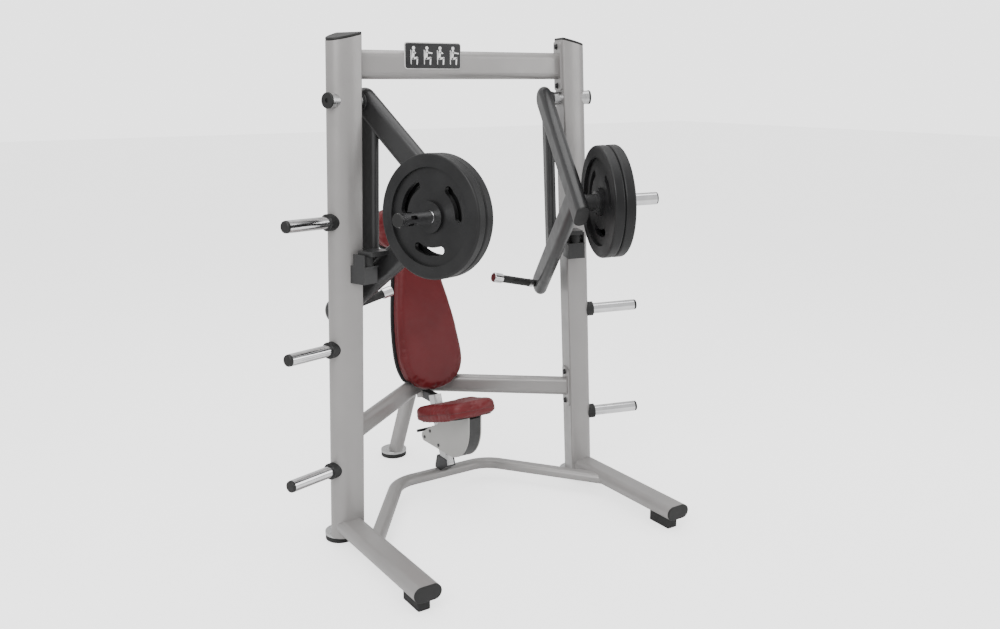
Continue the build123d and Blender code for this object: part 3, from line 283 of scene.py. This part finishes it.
FINISHES = {
    "frame_paint": paint("frame_paint", (0.30, 0.29, 0.285), 0.34, 0.3),
    "carriage_paint": paint("carriage_paint", (0.38, 0.375, 0.36), 0.36, 0.2),
    "arm_paint": paint("arm_paint", (0.022, 0.022, 0.0225), 0.36, 0.1),
    "chrome": chrome("chrome"),
    "steel": steel("steel", (0.56, 0.56, 0.56), 0.28),
    "bolt_steel": steel("bolt_steel", (0.06, 0.06, 0.062), 0.36),
    "bushing": steel("bushing", (0.45, 0.30, 0.14), 0.4),
    "black_plastic": moulded("black_plastic", BLACK, 0.5),
    "fairing_plastic": moulded("fairing_plastic", (0.028, 0.028, 0.028), 0.40, 700.0, 0.12),
    "rubber": moulded("rubber", (0.014, 0.014, 0.014), 0.68, 500.0, 0.25),
    "plate_iron": cast_iron("plate_iron"),
    "vinyl": vinyl("vinyl"),
    "board": cloth_board("board"),
    "placard_face": moulded("placard_face", (0.010, 0.010, 0.011), 0.24, 300.0, 0.04),
    "placard_back": moulded("placard_back", (0.62, 0.62, 0.61), 0.45),
}
GRIP_RUBBER = grip_rubber("grip_rubber")
PRINT = moulded("placard_print", (0.80, 0.80, 0.79), 0.5, 800.0, 0.05)
SEAM = moulded("seam_thread", (0.085, 0.012, 0.014), 0.6, 1500.0, 0.3)
WELD = paint("weld_bead", (0.036, 0.036, 0.037), 0.42, 0.15)


def finish_nodes():
    """Every CAD node takes the finish of its slot in the record."""
    for part in record["subparts"]:
        shown = nodes[part["node"]]
        shown.data.materials.clear()
        shown.data.materials.append(FINISHES[part["material_slot"]])
    for side in ("right", "left"):
        sleeve = nodes[f"{side}_grip_sleeve"]
        sleeve.data.materials.clear()
        sleeve.data.materials.append(GRIP_RUBBER)


# ------------------------------------------------------------------------ cushions
def activate(obj):
    bpy.ops.object.select_all(action="DESELECT")
    obj.select_set(True)
    bpy.context.view_layer.objects.active = obj


def apply_modifier(obj, modifier):
    activate(obj)
    bpy.ops.object.modifier_apply(modifier=modifier.name)


def copy_of(node, name):
    """A new object with a copy of a CAD node's shape, its doubled points merged."""
    mesh = nodes[node].data.copy()
    mesh.name = name
    cushion = bpy.data.objects.new(name, mesh)
    bpy.context.scene.collection.objects.link(cushion)
    work = bmesh.new()
    work.from_mesh(mesh)
    bmesh.ops.remove_doubles(work, verts=work.verts, dist=WELD_DISTANCE)
    bmesh.ops.recalc_face_normals(work, faces=work.faces)
    work.to_mesh(mesh)
    work.free()
    return cushion


def remesh(obj, size):
    modifier = obj.modifiers.new("remesh", "REMESH")
    modifier.mode = "VOXEL"
    modifier.voxel_size = size
    apply_modifier(obj, modifier)


def shrink(obj, amount):
    obj.data.update()
    moves = [vertex.normal * amount for vertex in obj.data.vertices]
    for vertex, move in zip(obj.data.vertices, moves):
        vertex.co -= move


def inflate(obj):
    """Cloth simulation with air inside; no point moves further than the limit."""
    start = [vertex.co.copy() for vertex in obj.data.vertices]
    modifier = obj.modifiers.new("cloth", "CLOTH")
    settings = modifier.settings
    settings.quality = CLOTH_QUALITY
    settings.use_pressure = True
    settings.uniform_pressure_force = PRESSURE
    settings.effector_weights.gravity = 0.0
    settings.tension_stiffness = TENSION
    settings.compression_stiffness = COMPRESSION
    settings.bending_stiffness = BENDING
    modifier.point_cache.frame_start = 1
    modifier.point_cache.frame_end = CLOTH_FRAMES
    for number in range(1, CLOTH_FRAMES + 1):
        bpy.context.scene.frame_set(number)
    apply_modifier(obj, modifier)
    bpy.context.scene.frame_set(1)
    for vertex, origin in zip(obj.data.vertices, start):
        move = vertex.co - origin
        if move.length > SWELL_LIMIT:
            vertex.co = origin + move.normalized() * SWELL_LIMIT


def smooth(obj, rounds):
    modifier = obj.modifiers.new("smooth", "SMOOTH")
    modifier.factor = 0.5
    modifier.iterations = rounds
    apply_modifier(obj, modifier)


def seam_at(cushion, point, normal, name, body):
    """A sewn seam: a thin cord where a plane cuts the cushion's skin."""
    cut = bmesh.new()
    cut.from_mesh(cushion.data)
    everything = cut.verts[:] + cut.edges[:] + cut.faces[:]
    result = bmesh.ops.bisect_plane(cut, geom=everything, plane_co=point, plane_no=normal)
    edges = [item for item in result["geom_cut"] if isinstance(item, bmesh.types.BMEdge)]
    kept = {vertex for edge in edges for vertex in edge.verts}
    mesh = bpy.data.meshes.new(name)
    order = {vertex: index for index, vertex in enumerate(kept)}
    mesh.from_pydata([tuple(vertex.co) for vertex in kept],
                     [(order[edge.verts[0]], order[edge.verts[1]]) for edge in edges], [])
    cut.free()
    seam = bpy.data.objects.new(name, mesh)
    bpy.context.scene.collection.objects.link(seam)
    skin = seam.modifiers.new("welt", "SKIN")
    activate(seam)
    for entry in mesh.skin_vertices[0].data:
        entry.radius = (SEAM_RADIUS, SEAM_RADIUS)
    apply_modifier(seam, skin)
    seam.data.materials.clear()
    seam.data.materials.append(SEAM)
    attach(seam, body)


def shade_smooth(obj):
    for polygon in obj.data.polygons:
        polygon.use_smooth = True


def make_cushion(node, body, lean):
    """A stuffed cushion in place of a plain CAD pad, with a seam round its middle."""
    cushion = copy_of(node, f"{node}_upholstery")
    remesh(cushion, VOXEL)
    shrink(cushion, SHRINK)
    inflate(cushion)
    smooth(cushion, SMOOTH_ROUNDS)
    subdivide = cushion.modifiers.new("subdivide", "SUBSURF")
    subdivide.levels = 1
    subdivide.render_levels = 1
    cushion.data.materials.clear()
    cushion.data.materials.append(FINISHES["vinyl"])
    shade_smooth(cushion)
    low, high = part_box(node)
    middle = (Vector(low) + Vector(high)) / 2
    facing = Vector((0, -math.cos(lean), math.sin(lean)))
    seam_at(cushion, middle, facing, f"{node}_seam", body)
    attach(cushion, body)
    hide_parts(node)


def make_cushions():
    make_cushion("back_pad", "frame", PAD_LEAN)
    make_cushion("head_pad", "frame", PAD_LEAN)
    make_cushion("seat_cushion", "seat", math.pi / 2 + SEAT_TILT)


# ------------------------------------------------------------------- small details
def limb(work, start, end, width, y):
    """One rounded stroke of a printed figure, in the placard's plane."""
    start, end = Vector(start), Vector(end)
    along = (end - start).normalized()
    across = Vector((-along.y, along.x)) * width / 2
    outline = []
    for centre, first in ((end, 0), (start, math.pi)):
        for step in range(STROKE_STEPS + 1):
            angle = first - math.pi / 2 + math.pi * step / STROKE_STEPS
            turn = along * math.cos(angle) * width / 2 + across * math.sin(angle)
            outline.append(work.verts.new((centre.x + turn.x, y, centre.y + turn.y)))
    work.faces.new(outline)


def head(work, centre, radius, y):
    """A round head in the placard's plane."""
    ring = []
    for step in range(HEAD_STEPS):
        angle = 2 * math.pi * step / HEAD_STEPS
        ring.append(work.verts.new((centre[0] + radius * math.cos(angle), y,
                                    centre[1] + radius * math.sin(angle))))
    work.faces.new(ring)


def figure(work, x, z, size, reach, y):
    """A seated figure with its arm reaching by reach, as on any exercise panel."""
    head(work, (x, z + 0.40 * size), 0.09 * size, y)
    limb(work, (x, z + 0.24 * size), (x - 0.06 * size, z - 0.12 * size), 0.15 * size, y)
    limb(work, (x - 0.04 * size, z - 0.14 * size), (x + 0.22 * size, z - 0.10 * size),
         0.10 * size, y)
    limb(work, (x + 0.22 * size, z - 0.12 * size), (x + 0.20 * size, z - 0.42 * size),
         0.08 * size, y)
    limb(work, (x, z + 0.18 * size), (x + reach * size, z + 0.14 * size), 0.07 * size, y)
    limb(work, (x - 0.16 * size, z + 0.28 * size), (x - 0.16 * size, z - 0.42 * size),
         0.04 * size, y)


def make_placard_print():
    """Four plain figures printed on the placard."""
    low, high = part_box("placard")
    width = high[0] - low[0]
    height = high[2] - low[2]
    front = low[1] - PRINT_LIFT
    work = bmesh.new()
    for number, reach in enumerate(FIGURE_REACHES):
        x = low[0] + width * (FIRST_FIGURE + FIGURE_STEP * number)
        figure(work, x, low[2] + height * 0.5, height * FIGURE_SIZE, reach, front)
    mesh = bpy.data.meshes.new("placard_print")
    work.to_mesh(mesh)
    work.free()
    mesh.materials.append(PRINT)
    printed = bpy.data.objects.new("placard_print", mesh)
    bpy.context.scene.collection.objects.link(printed)
    solid = printed.modifiers.new("thickness", "SOLIDIFY")
    solid.thickness = PRINT_LIFT
    solid.offset = 0
    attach(printed, "frame")


def weld_ring(name, centre, axis, radius, bead, body):
    """A ripple-surfaced fillet weld round a sleeve."""
    work = bmesh.new()
    rings = []
    out = Vector(axis).normalized()
    side = out.orthogonal().normalized()
    other = out.cross(side)
    for turn in range(WELD_STEPS):
        angle = 2 * math.pi * turn / WELD_STEPS
        radial = side * math.cos(angle) + other * math.sin(angle)
        ripple = bead * (1 + RIPPLE * math.sin(turn * RIPPLE_PITCH))
        ring = []
        for part in range(WELD_SECTION):
            around = 2 * math.pi * part / WELD_SECTION
            offset = radial * math.cos(around) + out * math.sin(around)
            ring.append(work.verts.new(Vector(centre) + radial * radius + offset * ripple))
        rings.append(ring)
    for turn in range(WELD_STEPS):
        here, ahead = rings[turn], rings[(turn + 1) % WELD_STEPS]
        for part in range(WELD_SECTION):
            following = (part + 1) % WELD_SECTION
            work.faces.new((here[part], here[following], ahead[following], ahead[part]))
    bmesh.ops.recalc_face_normals(work, faces=work.faces)
    mesh = bpy.data.meshes.new(name)
    work.to_mesh(mesh)
    work.free()
    mesh.materials.append(WELD)
    ring_object = bpy.data.objects.new(name, mesh)
    bpy.context.scene.collection.objects.link(ring_object)
    shade_smooth(ring_object)
    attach(ring_object, body)


def make_welds():
    """Beads round each arm's horn sleeve and pivot hub."""
    mounts = {mount["name"]: mount for mount in record["mounts"]}
    joints = {joint["name"]: joint for joint in record["behaviour"]["joints"]}
    for side in ("right", "left"):
        horn = mounts[f"{side}_horn"]
        axis = Vector(horn["axis"])
        root = Vector(horn["pos_m"]) - axis * HORN_MIDDLE_FROM_ARM
        weld_ring(f"{side}_horn_weld", root, axis, HORN_SLEEVE_RADIUS, WELD_BEAD,
                  f"{side}_arm")
        pivot = Vector(joints[f"{side}_arm_swing"]["pos_m"])
        weld_ring(f"{side}_hub_weld", pivot + axis * HUB_FROM_PIVOT, axis, HUB_RADIUS,
                  WELD_BEAD, f"{side}_arm")


# --------------------------------------------------------------------------- stage
def seen_only(tree, seen, otherwise=0.0):
    """One value for what the camera sees directly and another for all other light."""
    path = tree.nodes.new("ShaderNodeLightPath")
    return value_between(tree, path.outputs["Is Camera Ray"], otherwise, seen, 0.0, 1.0)


def make_floor():
    bpy.ops.mesh.primitive_plane_add(size=FLOOR_SIZE, location=(0, 0, -FLOOR_DROP))
    floor = bpy.context.object
    floor.name = "floor"
    material, tree, shader = start_material("floor")
    tree.links.new(colour_between(tree, noise(tree, 0.6, 3.0), (0.88, 0.88, 0.88),
                                  (0.91, 0.91, 0.91)), shader.inputs["Base Color"])
    shader.inputs["Roughness"].default_value = 0.75
    shader.inputs["Emission Color"].default_value = (1, 1, 1, 1)
    tree.links.new(seen_only(tree, FLOOR_GLOW), shader.inputs["Emission Strength"])
    floor.data.materials.append(material)


def area_light(name, place, target, size, power):
    light = bpy.data.lights.new(name, "AREA")
    light.shape = "RECTANGLE"
    light.size, light.size_y = size
    light.energy = power
    lamp = bpy.data.objects.new(name, light)
    lamp.location = place
    aim = Vector(target) - Vector(place)
    lamp.rotation_euler = aim.to_track_quat("-Z", "Y").to_euler()
    bpy.context.scene.collection.objects.link(lamp)


def make_light():
    world = bpy.data.worlds.new("studio")
    bpy.context.scene.world = world
    world.use_nodes = True
    world.node_tree.nodes["Background"].inputs["Color"].default_value = (1, 1, 1, 1)
    glow = seen_only(world.node_tree, WORLD_LIGHT + BACKDROP_GLOW, WORLD_LIGHT)
    world.node_tree.links.new(glow, world.node_tree.nodes["Background"].inputs["Strength"])
    area_light("key", (-3.6, -3.0, 4.2), LIGHT_TARGET, (3.0, 3.0), 190)
    area_light("fill", (3.6, -3.2, 2.6), LIGHT_TARGET, (3.0, 3.0), 60)
    area_light("overhead", (0, 0.4, 5.0), LIGHT_TARGET, (4.0, 4.0), 110)


def make_camera():
    data = bpy.data.cameras.new("camera")
    data.lens = LENS_MM
    data.sensor_width = SENSOR_MM
    camera = bpy.data.objects.new("camera", data)
    camera.location = CAMERA_PLACE
    camera.rotation_euler = (math.radians(90 - CAMERA_DOWN_DEG), 0,
                             math.radians(CAMERA_AZIMUTH_DEG))
    bpy.context.scene.collection.objects.link(camera)
    bpy.context.scene.camera = camera


finish_nodes()
make_cushions()
make_placard_print()
make_welds()
make_floor()
make_light()
make_camera()
